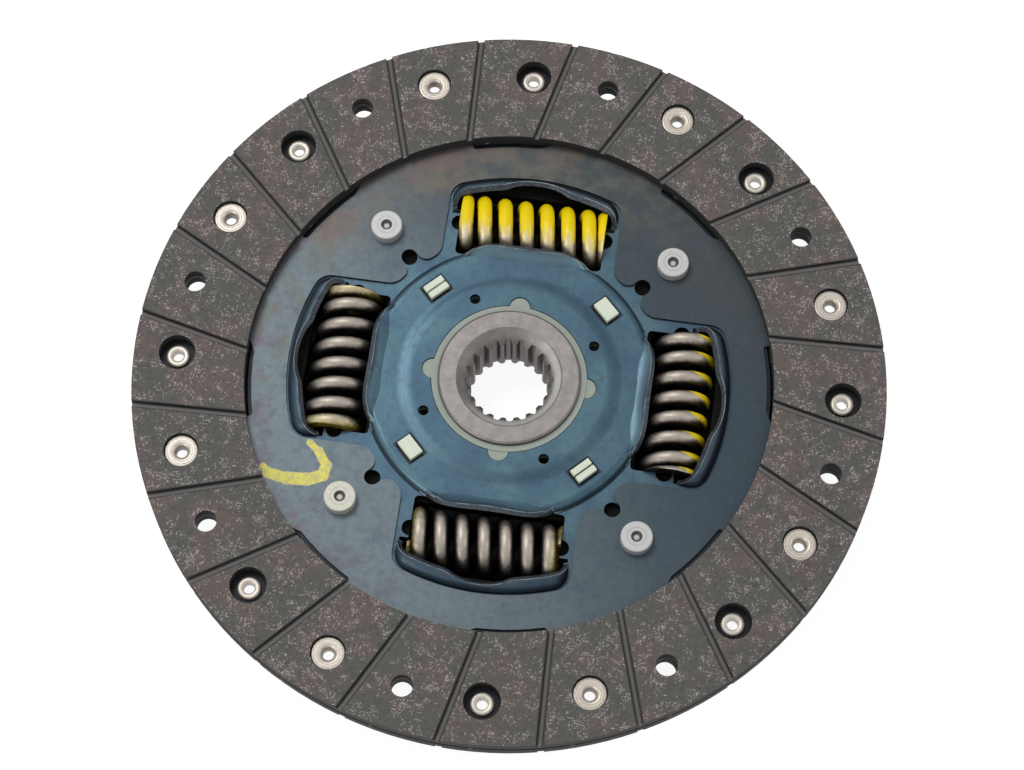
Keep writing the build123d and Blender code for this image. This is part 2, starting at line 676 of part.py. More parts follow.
with BuildPart() as front_bush:
    with BuildSketch(Plane.XZ):
        with BuildLine():
            Polyline(
                (bush_bore, front_bush_level),
                (bush_flange_diameter / 2, front_bush_level),
                (bush_flange_diameter / 2, shoulder_underside),
                (crown_seat_radius, shoulder_underside),
                (crown_seat_radius, crown_underside),
                (bush_collar_diameter / 2, crown_underside),
                (bush_collar_diameter / 2, bush_collar_height),
                (bush_bore, bush_collar_height),
                close=True,
            )
        make_face()
    revolve(axis=Axis.Z)
    # ears that key it into the retainer's bore
    with BuildSketch(Plane.XY.offset(crown_underside)):
        with PolarLocations(bush_ear_circle_diameter / 2, window_count):
            Circle(bush_ear_diameter / 2)
        Circle(bush_bore, mode=Mode.SUBTRACT)
    extrude(amount=bush_ear_height - crown_underside)
    # holes in line with those of the dome
    with BuildSketch(Plane.XY.offset(front_bush_level)):
        with PolarLocations(dome_hole_circle_diameter / 2, window_count, dome_hole_angle):
            Circle(bush_hole_diameter / 2)
    extrude(amount=crown_underside - front_bush_level, mode=Mode.SUBTRACT)
    # tabs that stand in the retainer's slots, every other one split
    with BuildSketch(Plane.XY.offset(shoulder_underside)):
        with PolarLocations(slot_circle_diameter / 2, window_count, diagonal):
            Rectangle(bush_tab_length, bush_tab_width)
        with PolarLocations(slot_circle_diameter / 2, window_count // 2, diagonal + quarter):
            Rectangle(bush_tab_split, bush_tab_width, mode=Mode.SUBTRACT)
    extrude(amount=dome_shoulder_level - shoulder_underside + bush_tab_reach)
front_bush.part.label = "front_bush"
export_step(front_bush.part, "parts/front_bush.step")

with BuildPart() as front_friction_washer:
    with BuildSketch(Plane.XY.offset(front_washer_level)):
        Circle(washer_outer_diameter / 2)
        Circle(washer_inner_diameter / 2, mode=Mode.SUBTRACT)
    extrude(amount=washer_thickness)
front_friction_washer.part.label = "front_friction_washer"
export_step(front_friction_washer.part, "parts/front_friction_washer.step")

# ---------------------------------------------------------------- rear bush, washer, plate and spring
# On the far side a coned spring under the rear retainer presses a keyed plate and its friction washer
# against the flange, and a second bush centres the retainer on the hub.
rear_washer_level = flange_rear - seat_gap
pressure_level = rear_washer_level - washer_thickness
diaphragm_level = pressure_level - pressure_plate_thickness
rear_crown_underside = 2 * damper_level - crown_underside
rear_shoulder_underside = 2 * damper_level - shoulder_underside
rear_shoulder_face = 2 * damper_level - dome_shoulder_level

with BuildPart() as rear_bush:
    with BuildSketch(Plane.XZ):
        with BuildLine():
            sleeve_radius = bush_collar_diameter / 2 + running_clearance * 10
            Polyline(
                (bush_bore, rear_washer_level),
                (sleeve_radius, rear_washer_level),
                (sleeve_radius, rear_crown_underside + rear_bush_flange_thickness),
                (rear_bush_flange_diameter / 2, rear_crown_underside + rear_bush_flange_thickness),
                (rear_bush_flange_diameter / 2, rear_crown_underside),
                (bush_collar_diameter / 2, rear_crown_underside),
                (bush_collar_diameter / 2, 2 * damper_level - bush_collar_height),
                (bush_bore, 2 * damper_level - bush_collar_height),
                close=True,
            )
        make_face()
    revolve(axis=Axis.Z)
    with BuildSketch(Plane.XY.offset(rear_crown_underside)):
        with PolarLocations(bush_ear_circle_diameter / 2, window_count):
            Circle(bush_ear_diameter / 2)
        Circle(bush_bore, mode=Mode.SUBTRACT)
    extrude(amount=crown_underside - bush_ear_height)
rear_bush.part.label = "rear_bush"
export_step(rear_bush.part, "parts/rear_bush.step")

with BuildPart() as rear_friction_washer:
    with BuildSketch(Plane.XY.offset(rear_washer_level)):
        Circle(washer_outer_diameter / 2)
        Circle(washer_inner_diameter / 2, mode=Mode.SUBTRACT)
    extrude(amount=-washer_thickness)
rear_friction_washer.part.label = "rear_friction_washer"
export_step(rear_friction_washer.part, "parts/rear_friction_washer.step")

with BuildPart() as pressure_plate:
    with BuildSketch(Plane.XY.offset(pressure_level)):
        Circle(washer_outer_diameter / 2)
        Circle(washer_inner_diameter / 2, mode=Mode.SUBTRACT)
    extrude(amount=-pressure_plate_thickness)
    # tabs bent through the rear retainer's slots
    with BuildSketch(Plane.XY.offset(pressure_level)):
        with PolarLocations((washer_outer_diameter - pressure_plate_thickness) / 2, window_count, diagonal):
            Rectangle(pressure_plate_thickness, pressure_tab_width)
    extrude(amount=rear_shoulder_face - pressure_tab_reach - pressure_level)
pressure_plate.part.label = "pressure_plate"
export_step(pressure_plate.part, "parts/pressure_plate.step")

with BuildPart() as diaphragm_spring:
    with BuildSketch(Plane.XZ):
        with BuildLine():
            Polyline(
                (diaphragm_inner_diameter / 2, diaphragm_level),
                (diaphragm_inner_diameter / 2, diaphragm_level - diaphragm_thickness),
                (diaphragm_outer_diameter / 2, rear_shoulder_underside),
                (diaphragm_outer_diameter / 2, rear_shoulder_underside + diaphragm_thickness),
                close=True,
            )
        make_face()
    revolve(axis=Axis.Z)
    with BuildSketch(Plane.XY.offset(diaphragm_level)):
        with PolarLocations(diaphragm_inner_diameter / 2, diaphragm_slots):
            SlotOverall(2 * diaphragm_slot_length, diaphragm_slot_width)
    extrude(amount=rear_shoulder_underside - diaphragm_level, mode=Mode.SUBTRACT)
diaphragm_spring.part.label = "diaphragm_spring"
export_step(diaphragm_spring.part, "parts/diaphragm_spring.step")
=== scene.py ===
"""Clutch disc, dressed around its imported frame: sizes in millimetres, turned to metres by MM."""

from math import atan2, cos, pi, radians, sin, sqrt

import bmesh
import bpy
from mathutils import Matrix, Vector


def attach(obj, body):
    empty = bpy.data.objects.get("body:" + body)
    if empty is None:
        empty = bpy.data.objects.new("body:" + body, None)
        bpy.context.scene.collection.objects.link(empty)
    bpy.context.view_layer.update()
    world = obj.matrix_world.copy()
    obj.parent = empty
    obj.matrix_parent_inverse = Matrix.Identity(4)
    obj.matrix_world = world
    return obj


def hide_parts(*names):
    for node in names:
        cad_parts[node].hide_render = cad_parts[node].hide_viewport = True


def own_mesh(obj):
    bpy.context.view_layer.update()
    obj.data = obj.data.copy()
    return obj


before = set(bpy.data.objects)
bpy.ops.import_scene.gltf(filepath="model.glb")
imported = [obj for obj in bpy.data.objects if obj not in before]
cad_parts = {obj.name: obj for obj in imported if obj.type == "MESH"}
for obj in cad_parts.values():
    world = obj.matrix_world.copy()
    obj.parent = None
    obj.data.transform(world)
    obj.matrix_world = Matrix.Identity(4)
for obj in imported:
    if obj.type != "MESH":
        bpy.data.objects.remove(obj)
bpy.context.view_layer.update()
MM = 0.001

# ---------------------------------------------------------------- camera, floor and light
# The disc lies on the rear face of its hub on a white table, under one large soft lamp at the upper
# left and two weaker ones, inside a white tent.
eye = Vector((39.9, -277.8, 740.4)) * MM
aim = Vector((0.98, -0.99, 0.0)) * MM
camera_roll = radians(0.131)
camera_lens = 98.64
table_level = -18.0 * MM

back = (eye - aim).normalized()
right = Vector((0, 0, 1)).cross(back).normalized()
up = back.cross(right)
tilted_right = right * cos(camera_roll) + up * sin(camera_roll)
tilted_up = up * cos(camera_roll) - right * sin(camera_roll)


def into_scene(name, data):
    """A new object with this data, linked into the scene."""
    made = bpy.data.objects.new(name, data)
    bpy.context.scene.collection.objects.link(made)
    return made


camera = into_scene("camera", bpy.data.cameras.new("camera"))
camera.data.sensor_width = 36.0
camera.data.lens = camera_lens
camera.data.clip_start = 0.01
camera_turn = Matrix((tilted_right, tilted_up, back)).transposed().to_4x4()
camera.matrix_world = Matrix.Translation(eye) @ camera_turn
bpy.context.scene.camera = camera
bpy.context.scene.view_settings.view_transform = "Standard"


class Value:
    """A socket of a material. Arithmetic on it adds Math nodes, and node() adds any other kind."""

    def __init__(self, tree, socket=None):
        self.tree = tree
        self.socket = socket

    def node(self, kind, settings, sockets, output=0):
        made = self.tree.nodes.new(kind)
        for name, setting in settings.items():
            setattr(made, name, setting)
        for name, value in sockets.items():
            if isinstance(value, Value):
                self.tree.links.new(value.socket, made.inputs[name])
            else:
                made.inputs[name].default_value = value
        return Value(self.tree, made.outputs[output])

    def math(self, operation, *values):
        return self.node("ShaderNodeMath", {"operation": operation}, dict(enumerate(values)))

    def __add__(self, other):
        return self.math("ADD", self, other)

    def __radd__(self, other):
        return self.math("ADD", other, self)

    def __sub__(self, other):
        return self.math("SUBTRACT", self, other)

    def __rsub__(self, other):
        return self.math("SUBTRACT", other, self)

    def __mul__(self, other):
        return self.math("MULTIPLY", self, other)

    def __rmul__(self, other):
        return self.math("MULTIPLY", other, self)

    def __truediv__(self, other):
        return self.math("DIVIDE", self, other)

    def __rtruediv__(self, other):
        return self.math("DIVIDE", other, self)

    def __gt__(self, other):
        return self.math("GREATER_THAN", self, other)

    def __abs__(self):
        return self.math("ABSOLUTE", self)


def seen_rays(start):
    """1 for a ray that is seen, straight or by mirror or glass, and 0 for one that only lights."""
    straight, mirrored, through_glass = (
        start.node("ShaderNodeLightPath", {}, {}, name)
        for name in ("Is Camera Ray", "Is Glossy Ray", "Is Transmission Ray")
    )
    return start.math("MAXIMUM", straight, start.math("MAXIMUM", mirrored, through_glass))


tent_light = 0.40
world = bpy.data.worlds.new("tent")
world.use_nodes = True
bpy.context.scene.world = world
tent = world.node_tree.nodes["Background"]
tent_strength = seen_rays(Value(world.node_tree)) * (1 - tent_light) + tent_light
tent.inputs["Color"].default_value = (1, 1, 1, 1)
world.node_tree.links.new(tent_strength.socket, tent.inputs["Strength"])


def lamp(name, place, width, power):
    """A square soft lamp that faces the disc."""
    light = bpy.data.lights.new(name, "AREA")
    light.shape = "SQUARE"
    light.size = width
    light.energy = power
    holder = into_scene(name, light)
    holder.location = place
    holder.rotation_euler = Vector(place).to_track_quat("Z", "Y").to_euler()


lamp("key_lamp", place=(-0.45, 0.40, 1.0), width=0.5, power=5.0)
lamp("right_lamp", place=(0.9, 0.1, 0.55), width=0.4, power=1.2)
lamp("near_lamp", place=(-0.62, -0.72, 0.42), width=0.4, power=2.2)

half_table = 3.0
table_corners = [
    (x * half_table, y * half_table, table_level) for x, y in ((-1, -1), (1, -1), (1, 1), (-1, 1))
]
table_mesh = bpy.data.meshes.new("table_top")
table_mesh.from_pydata(table_corners, [], [(0, 1, 2, 3)])
table_top = into_scene("table_top", table_mesh)


def new_finish(name):
    """A material with its shader, and its place on the disc in millimetres as a vector."""
    material = bpy.data.materials.new(name)
    material.use_nodes = True
    start = Value(material.node_tree)
    metres = start.node("ShaderNodeTexCoord", {}, {}, "Object")
    place = start.node("ShaderNodeVectorMath", {"operation": "SCALE"}, {0: metres, "Scale": 1 / MM})
    return material, place


def part_along(vector, axis):
    """The part of a vector along one axis."""
    return vector.node("ShaderNodeSeparateXYZ", {}, {0: vector}, axis)


def parts_of(vector):
    """The parts of a vector along x, y and z."""
    return [part_along(vector, axis) for axis in "XYZ"]


def facing_along(place, axis):
    """How squarely the surface faces along an axis, from -1 to 1."""
    return part_along(place.node("ShaderNodeTexCoord", {}, {}, "Normal"), axis)


def distance(x, y):
    """How far the point x, y lies from the origin."""
    return x.math("SQRT", x * x + y * y)


def finish(material, **inputs):
    """Sets or links inputs of the material's shader, named with _ for a space."""
    shader = material.node_tree.nodes["Principled BSDF"]
    for name, value in inputs.items():
        socket = shader.inputs[name.replace("_", " ")]
        if isinstance(value, Value):
            material.node_tree.links.new(value.socket, socket)
        elif hasattr(value, "__len__") and len(value) == 3:
            socket.default_value = (*value, 1)
        else:
            socket.default_value = value


def mixed(mask, first, second):
    """The first colour where the mask is 0 and the second where it is 1."""
    first, second = (
        colour if isinstance(colour, Value) else (*colour, 1) for colour in (first, second)
    )
    factor_input, first_input, second_input, colour_output = 0, 6, 7, 2
    sockets = {factor_input: mask, first_input: first, second_input: second}
    return mask.node("ShaderNodeMix", {"data_type": "RGBA"}, sockets, colour_output)


def ramped(value, low, high):
    """0 where the value is at or below low, 1 at or above high, and smooth between them."""
    sockets = {"Value": value, "From Min": low, "From Max": high}
    return value.node("ShaderNodeMapRange", {"interpolation_type": "SMOOTHSTEP"}, sockets)


def noise(place, size, detail=3.0, roughness=0.55):
    """Noise from 0 to 1 with patches of about this size in millimetres."""
    sockets = {"Vector": place, "Scale": 1 / size, "Detail": detail, "Roughness": roughness}
    return place.node("ShaderNodeTexNoise", {}, sockets)


def bumped(height, depth):
    """A normal from a height of 0 to 1 that stands this many millimetres high."""
    sockets = {"Height": height, "Distance": depth * MM, "Strength": 1.0}
    return height.node("ShaderNodeBump", {}, sockets)


# the table glows white where it is seen, but for the ring of shadow close under the disc
shade_starts = (14.0, 24.0)
shade_ends = (77.0, 84.0)
table_glow = 0.9
table_white, place = new_finish("table_white")
x, y, z = parts_of(place)
ring_distance = distance(x, y)
shade = ramped(ring_distance, *shade_starts) * (1 - ramped(ring_distance, *shade_ends))
finish(
    table_white,
    Base_Color=mixed(shade, (0.3, 0.3, 0.3), (0.02, 0.02, 0.02)),
    Roughness=1.0,
    Specular_IOR_Level=0.0,
    Emission_Color=seen_rays(place) * (1 - shade) * table_glow,
    Emission_Strength=1.0,
)
table_mesh.materials.append(table_white)


def dress(node_name, material):
    """Gives a CAD node its finish."""
    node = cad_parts[node_name]
    for slot in node.material_slots:
        slot.material = material


# ---------------------------------------------------------------- hub
# The splined boss that slides on the shaft. Forged steel, turned all over with a countersunk bore
# and twenty teeth broached through it, and left bare.
hub_front = 4.0
hub_rear = -18.0
bore_edge = (13.0, 14.0)
countersink_edge = (14.4, 15.2)
neck_edge = (19.9, 20.05)
hub_steel, place = new_finish("hub_steel")
x, y, z = parts_of(place)
ring_distance = distance(x, y)
turning = noise(place.node("ShaderNodeCombineXYZ", {}, {"X": ring_distance, "Y": z}), 0.12, 2.0)
cloud = noise(place, 3.0)
grain = noise(place, 0.35, 4.0, 0.7)
face_colour = mixed(ramped(cloud, 0.3, 0.7), (0.195, 0.178, 0.170), (0.245, 0.228, 0.220))
face_colour = mixed(ramped(grain, 0.5, 0.72) * 0.6, face_colour, (0.10, 0.088, 0.082))
end_distance = z.math("MINIMUM", hub_front - z, z - hub_rear)
# painted shade: the bore is darkened with depth, where shade falls inside it
bore_painted_shade = ramped(end_distance, 1.6, 3.4) * (1 - ramped(ring_distance, *bore_edge))
in_countersink = ramped(end_distance, 0.05, 0.6) * (1 - ramped(ring_distance, *countersink_edge))
# painted highlight: the countersink is lightened towards its lower right, where light falls on it
countersink_painted_highlight = ramped(x - y * 1.1 + (cloud - 0.5) * 12, -10.0, 14.0)
# painted shade: the hub's side below its front chamfer is darkened in the gap beside the bush
neck_painted_shade = ramped(ring_distance, *neck_edge) * ramped(end_distance, 0.35, 0.7)
hub_colour = mixed(in_countersink * countersink_painted_highlight, face_colour, (0.66, 0.65, 0.62))
hub_colour = mixed(bore_painted_shade, hub_colour, (0.15, 0.135, 0.13))
hub_colour = mixed(neck_painted_shade, hub_colour, (0.04, 0.034, 0.03))
finish(
    hub_steel,
    Base_Color=hub_colour,
    Metallic=0.85,
    Roughness=0.42 + 0.12 * grain,
    Normal=bumped(turning * 0.6 + grain * 0.6, 0.03),
)
dress("hub", hub_steel)

# ---------------------------------------------------------------- hub flange
# The plate that takes the springs' push to the hub. Blanked from steel with four windows, fitted on
# the hub's outer teeth, dark from its hardening and painted near black besides, as shade deep
# between the retainers.
flange_steel, place = new_finish("flange_steel")
mottle = noise(place, 5.0)
finish(
    flange_steel,
    Base_Color=mixed(mottle, (0.005, 0.005, 0.005), (0.014, 0.013, 0.012)),
    Metallic=0.7,
    Roughness=0.6 + 0.15 * mottle,
    Specular_IOR_Level=0.2,
    Normal=bumped(noise(place, 0.4, 4.0), 0.03),
)
dress("hub_flange", flange_steel)

# ---------------------------------------------------------------- retainer plates
# Two plates pressed from sheet steel and tempered blue, each with a stepped dome and with hoods and
# lips that hold the springs. The free edges of the hoods and lips were sheared after tempering:
# they are dull grey, with a thin burr along the rim whose light colour is a painted highlight.
damper_level = -4.8
quarter_turn = pi / 2
dome_edge = (40.8, 41.2)
dome_foot_radius = 41.3
plate_rim = (71.4, 71.8)
tab_slot_radius = 34.5
tab_slot_half_width = 2.7
tab_slot_half_length = 3.6
hood_foot = (50.0, 54.0)
hood_edge_radius = 51.0
hood_edge_height = 4.5
lip_edge_radii = (36.5, 41.5)
lip_edge_height = 4.6
burr_radius = 0.11 * MM
burr_sides = 6
corner_weld = 0.001 * MM
blued_steel, place = new_finish("blued_steel")
x, y, z = parts_of(place)
ring_distance = distance(x, y)
facing_x, facing_y, facing_up = (facing_along(place, axis) for axis in "XYZ")
# painted shade: faces that look in towards the damper's middle are painted near black further down
inside = 1 - ramped((z - damper_level) * facing_up, -1.6, -0.4)
facing_up = abs(facing_up)
temper = noise(place, 16.0, 3.0)
smoke = noise(place, 2.2, 5.0, 0.65)
speck = noise(place, 0.6, 3.0, 0.6)
rim_tone = ramped(ring_distance, 38.0, 66.0)
dome_blue = mixed(ramped(temper, 0.35, 0.68), (0.040, 0.082, 0.120), (0.058, 0.115, 0.145))
rim_blue = mixed(ramped(temper, 0.35, 0.68), (0.040, 0.066, 0.096), (0.056, 0.088, 0.114))
plate_blue = mixed(rim_tone, dome_blue, rim_blue)
plate_blue = mixed(ramped(smoke, 0.45, 0.75) * 0.4, plate_blue, (0.026, 0.038, 0.056))
plate_blue = mixed(ramped(speck, 0.62, 0.72) * 0.25, plate_blue, (0.10, 0.14, 0.17))
# painted sheen: a painted highlight on the dome's bends that face the lower left
sheen = ramped(facing_x * -0.8 + facing_y * -0.6, 0.06, 0.3)
sheen = sheen * (1 - ramped(ring_distance, *dome_edge))
plate_blue = mixed(sheen * 0.5, plate_blue, (0.13, 0.21, 0.25))
# painted shade: the hoods' outer slopes are darkened, most where they face right and up, away from
# the lamp
hood_slope_painted_shade = ramped(ring_distance, *hood_foot) * (1 - ramped(facing_up, 0.80, 0.998))
hood_slope_painted_shade = hood_slope_painted_shade * (0.2 + ramped(facing_x * 0.7 + facing_y, -0.5, 0.15) * 0.75)
# painted shade: a dark line in the crease at the dome's foot
foot_crease_painted_shade = 1 - ramped(abs(ring_distance - dome_foot_radius), 0.1, 0.3)
# painted shade: steep walls such as the sides of holes are painted near black
pierced_wall_painted_shade = 1 - ramped(facing_up, 0.1, 0.3)
plate_blue = mixed(hood_slope_painted_shade, plate_blue, (0.007, 0.010, 0.017))
plate_blue = mixed(foot_crease_painted_shade * 0.85, plate_blue, (0.010, 0.015, 0.022))
plate_blue = mixed(pierced_wall_painted_shade * 0.9, plate_blue, (0.008, 0.009, 0.011))
slot_across = abs((abs(x) + abs(y)) / sqrt(2) - tab_slot_radius)
slot_along = abs((abs(x) - abs(y)) / sqrt(2))
slot_distance = x.math(
    "MAXIMUM", slot_across - tab_slot_half_width, slot_along - tab_slot_half_length
)
# painted shade: a dark outline in the gap round each tab slot
slot_gap_painted_shade = (1 - ramped(slot_distance, 0.2, 0.55)) * (1 - ramped(ring_distance, 40.0, 40.2))
plate_blue = mixed(slot_gap_painted_shade * 0.85, plate_blue, (0.008, 0.010, 0.013))
plate_blue = mixed(inside * 0.9, plate_blue, (0.006, 0.006, 0.007))
# painted shade: the outer rim of the front retainer is painted near black
rim_painted_shade = ramped(ring_distance, *plate_rim) * ramped(z, -4.4, -3.4)
plate_blue = mixed(rim_painted_shade * 0.9, plate_blue, (0.008, 0.009, 0.011))
finish(
    blued_steel,
    Base_Color=plate_blue,
    Metallic=0.75,
    Roughness=0.34 + 0.14 * smoke,
    Normal=bumped(noise(place, 0.5, 4.0, 0.6), 0.02),
)
sheared_steel, place = new_finish("sheared_steel")
torn = noise(place, 0.8, 4.0, 0.6)
finish(
    sheared_steel,
    Base_Color=mixed(ramped(torn, 0.35, 0.65), (0.030, 0.038, 0.050), (0.070, 0.084, 0.100)),
    Metallic=0.7,
    Roughness=0.5,
    Normal=bumped(torn, 0.02),
)
# painted highlight: the burr tubes are coloured light in patches to stand for the glint along the
# rims
burr_highlight_steel, place = new_finish("burr_highlight_steel")
burr_painted_highlight = noise(place, 5.0, 4.0, 0.6)
finish(
    burr_highlight_steel,
    Base_Color=mixed(ramped(burr_painted_highlight, 0.35, 0.6), (0.060, 0.085, 0.105), (0.28, 0.32, 0.35)),
    Metallic=0.6,
    Roughness=0.4,
)


def is_sheared(face, side):
    """Whether a retainer's face is a free edge of a hood or lip; side is 1 in front, -1 behind."""
    centre = face.center / MM
    turn = round(atan2(centre.y, centre.x) / quarter_turn) * quarter_turn
    window_axis = Vector((cos(turn), sin(turn), 0))
    along = centre.dot(window_axis)
    lean = face.normal.dot(window_axis)
    height = side * (centre.z - damper_level)
    upwards = side * face.normal.z
    on_hood = along > hood_edge_radius and height > hood_edge_height
    on_lip = lip_edge_radii[0] < along < lip_edge_radii[1] and height > lip_edge_height
    hood_edge = on_hood and lean < -0.35 and upwards > 0.2
    lip_edge = on_lip and lean > 0.4 and upwards > 0.08
    return hood_edge or lip_edge


def burr_mesh(name, pressed, side):
    """A thin tube along the outer rim of each sheared edge of a retainer."""
    source = bmesh.new()
    source.from_mesh(pressed)
    bmesh.ops.remove_doubles(source, verts=source.verts, dist=corner_weld)
    tubes = bmesh.new()
    for edge in source.edges:
        kinds = {face.material_index: face for face in edge.link_faces}
        if len(kinds) < 2 or kinds[0].normal.z * side < 0.3:
            continue
        start, end = (corner.co for corner in edge.verts)
        across = (end - start).orthogonal().normalized()
        other = (end - start).cross(across).normalized()
        angles = [2 * pi * number / burr_sides for number in range(burr_sides)]
        spokes = [(across * cos(angle) + other * sin(angle)) * burr_radius for angle in angles]
        rings = [[tubes.verts.new(at + spoke) for spoke in spokes] for at in (start, end)]
        for number in range(burr_sides):
            after = (number + 1) % burr_sides
            tubes.faces.new((rings[0][number], rings[0][after], rings[1][after], rings[1][number]))
        tubes.faces.new(list(reversed(rings[0])))
        tubes.faces.new(rings[1])
    source.free()
    data = bpy.data.meshes.new(name)
    tubes.to_mesh(data)
    tubes.free()
    return data


for node_name, side in (("front_retainer", 1), ("rear_retainer", -1)):
    pressing = into_scene(node_name + "_pressing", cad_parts[node_name].data.copy())
    pressing.data.materials.clear()
    pressing.data.materials.append(blued_steel)
    pressing.data.materials.append(sheared_steel)
    for face in pressing.data.polygons:
        face.material_index = int(is_sheared(face, side))
    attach(pressing, "disc")
    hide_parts(node_name)
    burr_name = node_name + "_burr"
    burr = into_scene(burr_name, burr_mesh(burr_name, pressing.data, side))
    burr.data.materials.append(burr_highlight_steel)
    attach(burr, "disc")

# ---------------------------------------------------------------- damper springs
# Four coil springs of round wire, closed and ground flat at their ends, held in the windows. One is
# brushed yellow on its outer side, and some of that paint has run on to its neighbours.
spring_length = 42.0
spring_outer_diameter = 18.0
spring_circle_diameter = 96.2
wire_diameter = 4.1
spring_pitch = 6.05
spring_open_turns = 5.9
spring_closed_turns = 1.0
spring_closed_pitch = 4.15
spring_phases = (0.79, 0.71, 0.66, 0.02)
painted_spring = 1
splashed_spring = 0
steps_a_turn = 40
wire_sides = 24
small_turn = 0.01
end_weld = 0.01 * MM
coil_radius = (spring_outer_diameter - wire_diameter) / 2
wire_turns = spring_open_turns + 2 * spring_closed_turns


def coil_advance(turn):
    """How far along the spring the wire has come, this many turns from its middle."""
    open_part = max(-spring_open_turns / 2, min(turn, spring_open_turns / 2))
    return open_part * spring_pitch + (turn - open_part) * spring_closed_pitch


def coil_point(turn, phase):
    """The middle of the wire, this many turns from the spring's middle, in millimetres."""
    swing = 2 * pi * (turn + phase)
    return Vector(
        (
            spring_circle_diameter / 2 + coil_radius * sin(swing),
            coil_advance(turn),
            damper_level + coil_radius * cos(swing),
        )
    )


def spring_mesh(name, phase):
    """The wire as a tube round its coil, flat where its ends are ground."""
    mesh = bmesh.new()
    rings = []
    for step in range(round(wire_turns * steps_a_turn) + 1):
        turn = step / steps_a_turn - wire_turns / 2
        centre = coil_point(turn, phase)
        before, beyond = coil_point(turn - small_turn, phase), coil_point(turn + small_turn, phase)
        along = (beyond - before).normalized()
        axis_point = Vector((spring_circle_diameter / 2, centre.y, damper_level))
        outward = (centre - axis_point).normalized()
        across = along.cross(outward).normalized()
        outward = across.cross(along)
        ring = []
        for side in range(wire_sides):
            angle = 2 * pi * side / wire_sides
            point = centre + (outward * cos(angle) + across * sin(angle)) * wire_diameter / 2
            point.y = max(-spring_length / 2, min(point.y, spring_length / 2))
            ring.append(mesh.verts.new(point * MM))
        rings.append(ring)
    for ring, after in zip(rings, rings[1:]):
        for side in range(wire_sides):
            other = (side + 1) % wire_sides
            mesh.faces.new((ring[side], ring[other], after[other], after[side]))
    mesh.faces.new(list(reversed(rings[0])))
    mesh.faces.new(rings[-1])
    bmesh.ops.remove_doubles(mesh, verts=mesh.verts, dist=end_weld)
    bmesh.ops.recalc_face_normals(mesh, faces=mesh.faces)
    data = bpy.data.meshes.new(name)
    mesh.to_mesh(data)
    mesh.free()
    data.shade_smooth()
    return data


for number, phase in enumerate(spring_phases):
    name = f"damper_spring_{number + 1}"
    piece = into_scene(name + "_wire", spring_mesh(name, phase))
    piece.data.transform(Matrix.Rotation(number * quarter_turn, 4, "Z"))
    spring_steel, place = new_finish(name + "_steel")
    x, y, z = parts_of(place)
    outward, sideways = ((x, y), (y, x * -1), (x * -1, y * -1), (y * -1, x))[number]
    facing_up = facing_along(place, "Z")
    worn = noise(place, 1.6, 4.0, 0.6)
    fine = noise(place, 0.3, 3.0, 0.6)
    if number == painted_spring:
        painted_flank_shade, painted_top_light, gloss = (0.10, 0.085, 0.06), (0.62, 0.56, 0.44), 0.2
        painted_light_range, painted_shade_range = (0.05, 0.8), (-0.3, -0.05)
    else:
        painted_flank_shade, painted_top_light, gloss = (0.040, 0.032, 0.028), (0.37, 0.33, 0.285), 0.5
        painted_light_range, painted_shade_range = (0.38, 1.02), (-0.15, 0.4)
    # painted light: each wire is coloured lighter on top and darker on its flanks, as if lit from
    # above
    wire_with_painted_light = mixed(ramped(abs(facing_up) + (worn - 0.5) * 0.5, *painted_light_range), painted_flank_shade, painted_top_light)
    wire_with_painted_light = mixed(ramped(fine, 0.56, 0.7) * 0.35, wire_with_painted_light, (0.16, 0.135, 0.115))
    # painted shade: the sides of the wire that face into the coil are painted near black
    side_clear_of_painted_shade = (z - damper_level) * facing_up / coil_radius
    wire_with_painted_light = mixed(ramped(side_clear_of_painted_shade, *painted_shade_range), (0.010, 0.009, 0.009), wire_with_painted_light)
    if number == painted_spring:
        brushed = {0: place, 1: (1.0, 0.18, 0.3)}
        brushed = place.node("ShaderNodeVectorMath", {"operation": "MULTIPLY"}, brushed)
        streak = noise(brushed, 0.5, 3.0, 0.65)
        paint = ramped(outward + (streak - 0.5) * 12 + (worn - 0.5) * 3, 41.0, 48.0)
        paint = paint * ramped(z, -6.0, -3.0)
    elif number == splashed_spring:
        coil_side = facing_along(place, "Y")
        paint = ramped(outward + coil_side * 4 + (worn - 0.5) * 3, 52.5, 55.5)
        paint = paint * ramped(z, -7.0, -4.0)
    else:
        paint = ramped(abs(sideways) + (worn - 0.5) * 6, 17.5, 21.0) * ramped(fine, 0.4, 0.6) * 0.35
    yellow = mixed(ramped(fine, 0.35, 0.7), (0.93, 0.66, 0.002), (1.0, 0.82, 0.003))
    finish(
        spring_steel,
        Specular_IOR_Level=gloss,
        Base_Color=mixed(paint, wire_with_painted_light, yellow),
        Metallic=0.85 * (1 - paint),
        Roughness=0.4 + 0.12 * fine,
        Normal=bumped(fine + paint * 0.5, 0.03),
    )
    piece.data.materials.append(spring_steel)
    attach(piece, "springs")
    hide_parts(name)
    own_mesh(piece)

# ---------------------------------------------------------------- bushes and friction washers
# The bushes centre the retainers on the hub: moulded in pale green-grey glass-filled plastic, with
# ears and snap tabs. Between them and the flange lie washers of pressed fibre that rub.
bush_ring_edge = (28.0, 29.0)
tab_foot = (6.3, 6.7)
bush_plastic, place = new_finish("bush_plastic")
x, y, z = parts_of(place)
bloom = noise(place, 4.0)
ring_distance = distance(x, y)
from_damper = abs(z - damper_level)
ring_colour = mixed(bloom, (0.30, 0.34, 0.295), (0.38, 0.42, 0.37))
tab_colour = mixed(bloom, (0.68, 0.76, 0.60), (0.80, 0.86, 0.73))
